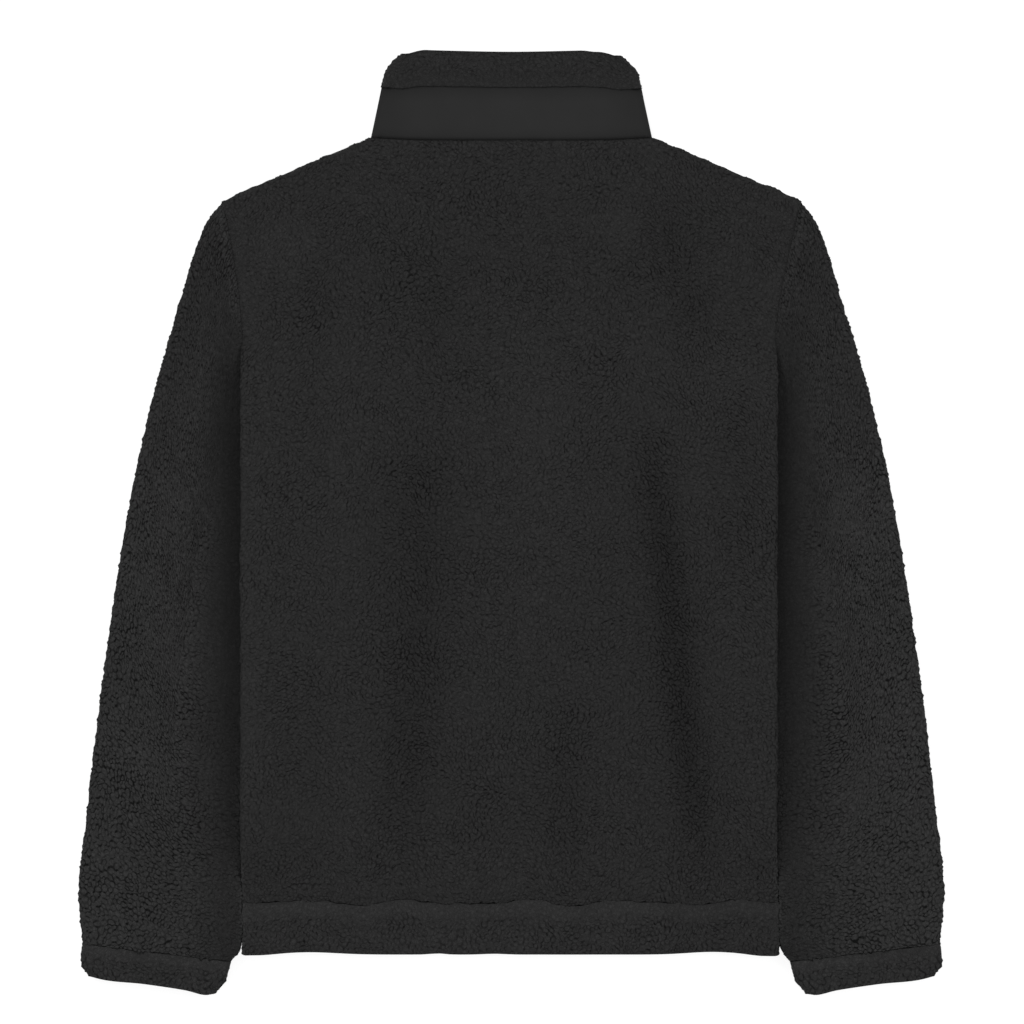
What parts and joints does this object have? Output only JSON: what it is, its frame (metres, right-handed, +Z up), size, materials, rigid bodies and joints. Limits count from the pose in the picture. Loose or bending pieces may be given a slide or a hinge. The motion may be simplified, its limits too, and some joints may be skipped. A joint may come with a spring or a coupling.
{
  "type": "sherpa jacket",
  "caption": "Pile-fabric jacket with a woven stand collar and a closed front zip, laid flat on its front with its back up.",
  "frame": {"origin": "on the surface the jacket lies on, at the middle of its width and of its length", "axes": "+X to the right of the back, +Y from hem to collar, +Z up from the surface"},
  "size_m": [0.7266, 0.7938, 0.0313],
  "materials": {
    "pile": "matt curly pile",
    "woven_band": "smooth plain weave",
    "zip_tape": "woven tape",
    "zip_teeth": "moulded",
    "zip_metal": "satin black"
  },
  "bodies": {
    "garment": {"back_panel": "pile", "front_left": "pile", "front_right": "pile", "sleeve_left": "pile", "sleeve_right": "pile", "cuff_left": "pile", "cuff_right": "pile", "hem_band": "pile", "collar_band": "woven_band", "collar_pile": "pile", "zip_tape_left": "zip_tape", "zip_tape_right": "zip_tape", "zip_chain": "zip_teeth", "zip_slider": "zip_metal"},
    "zip_pull": {"zip_pull": "zip_metal"}
  },
  "joints": [
    {"name": "zip_pull_swing", "type": "hinge", "parent": "garment", "child": "zip_pull", "pos_m": [0, 0.344, 0.00205], "axis": [1, 0, 0], "range_deg": [0, 170]}
  ]
}
